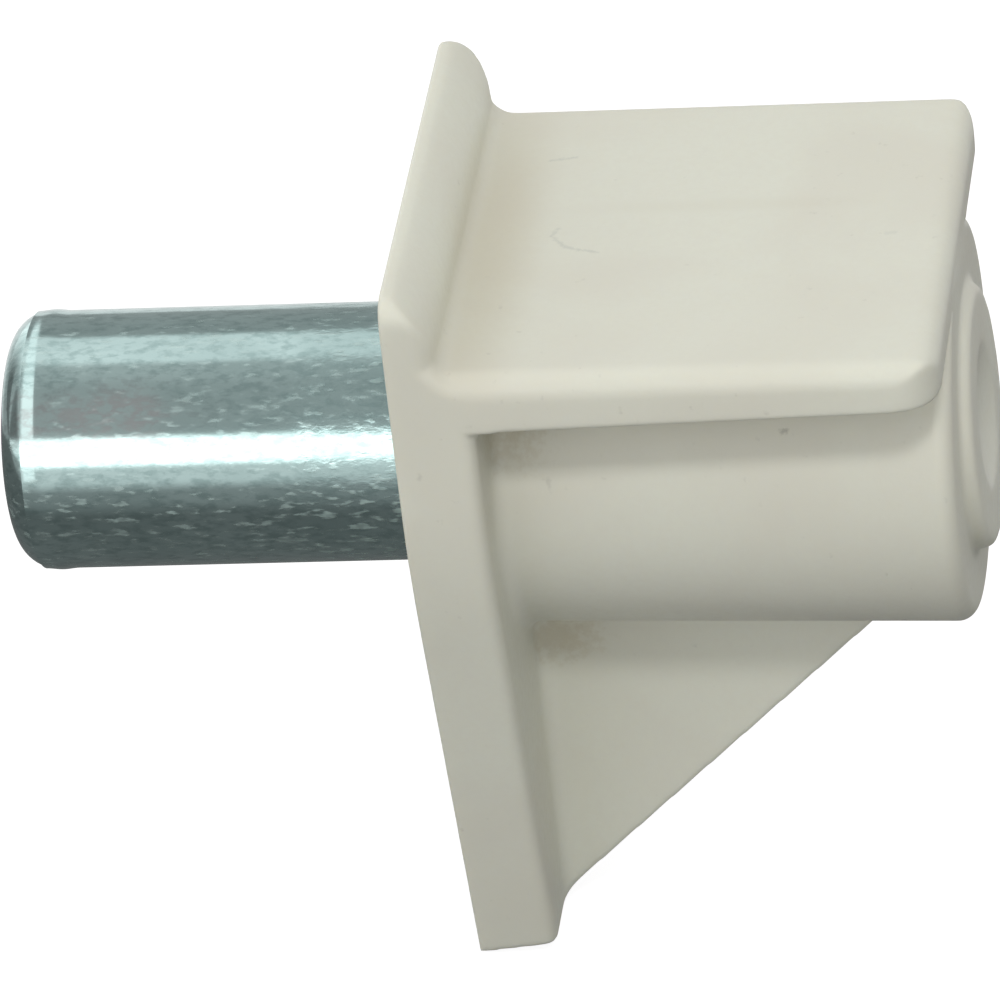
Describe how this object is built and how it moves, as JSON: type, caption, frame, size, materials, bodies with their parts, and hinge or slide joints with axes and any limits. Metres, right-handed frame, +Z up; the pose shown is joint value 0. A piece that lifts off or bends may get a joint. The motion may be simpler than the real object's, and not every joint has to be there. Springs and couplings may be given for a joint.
{
  "type": "shelf support pin",
  "caption": "Plug-in shelf support: a moulded bracket with a lipped seat, boss and gusset, on a plain steel pin for a drilled cabinet side",
  "frame": {"origin": "on the pin's axis, in the plane of the flange's back face, which lies against the cabinet's side", "axes": "+X runs along the pin from the cabinet's side out under the shelf, so the pin points along -X; +Y runs along the shelf's edge; +Z is up, out of the shelf's seat"},
  "size_m": [0.0189, 0.0104, 0.0163],
  "materials": {
    "moulded_plastic": "off-white satin plastic, as moulded, faintly scuffed on the seat",
    "plated_steel": "bright zinc plate, slightly mottled"
  },
  "bodies": {
    "root": {"moulded_bracket": "moulded_plastic", "steel_pin": "plated_steel"}
  },
  "joints": []
}
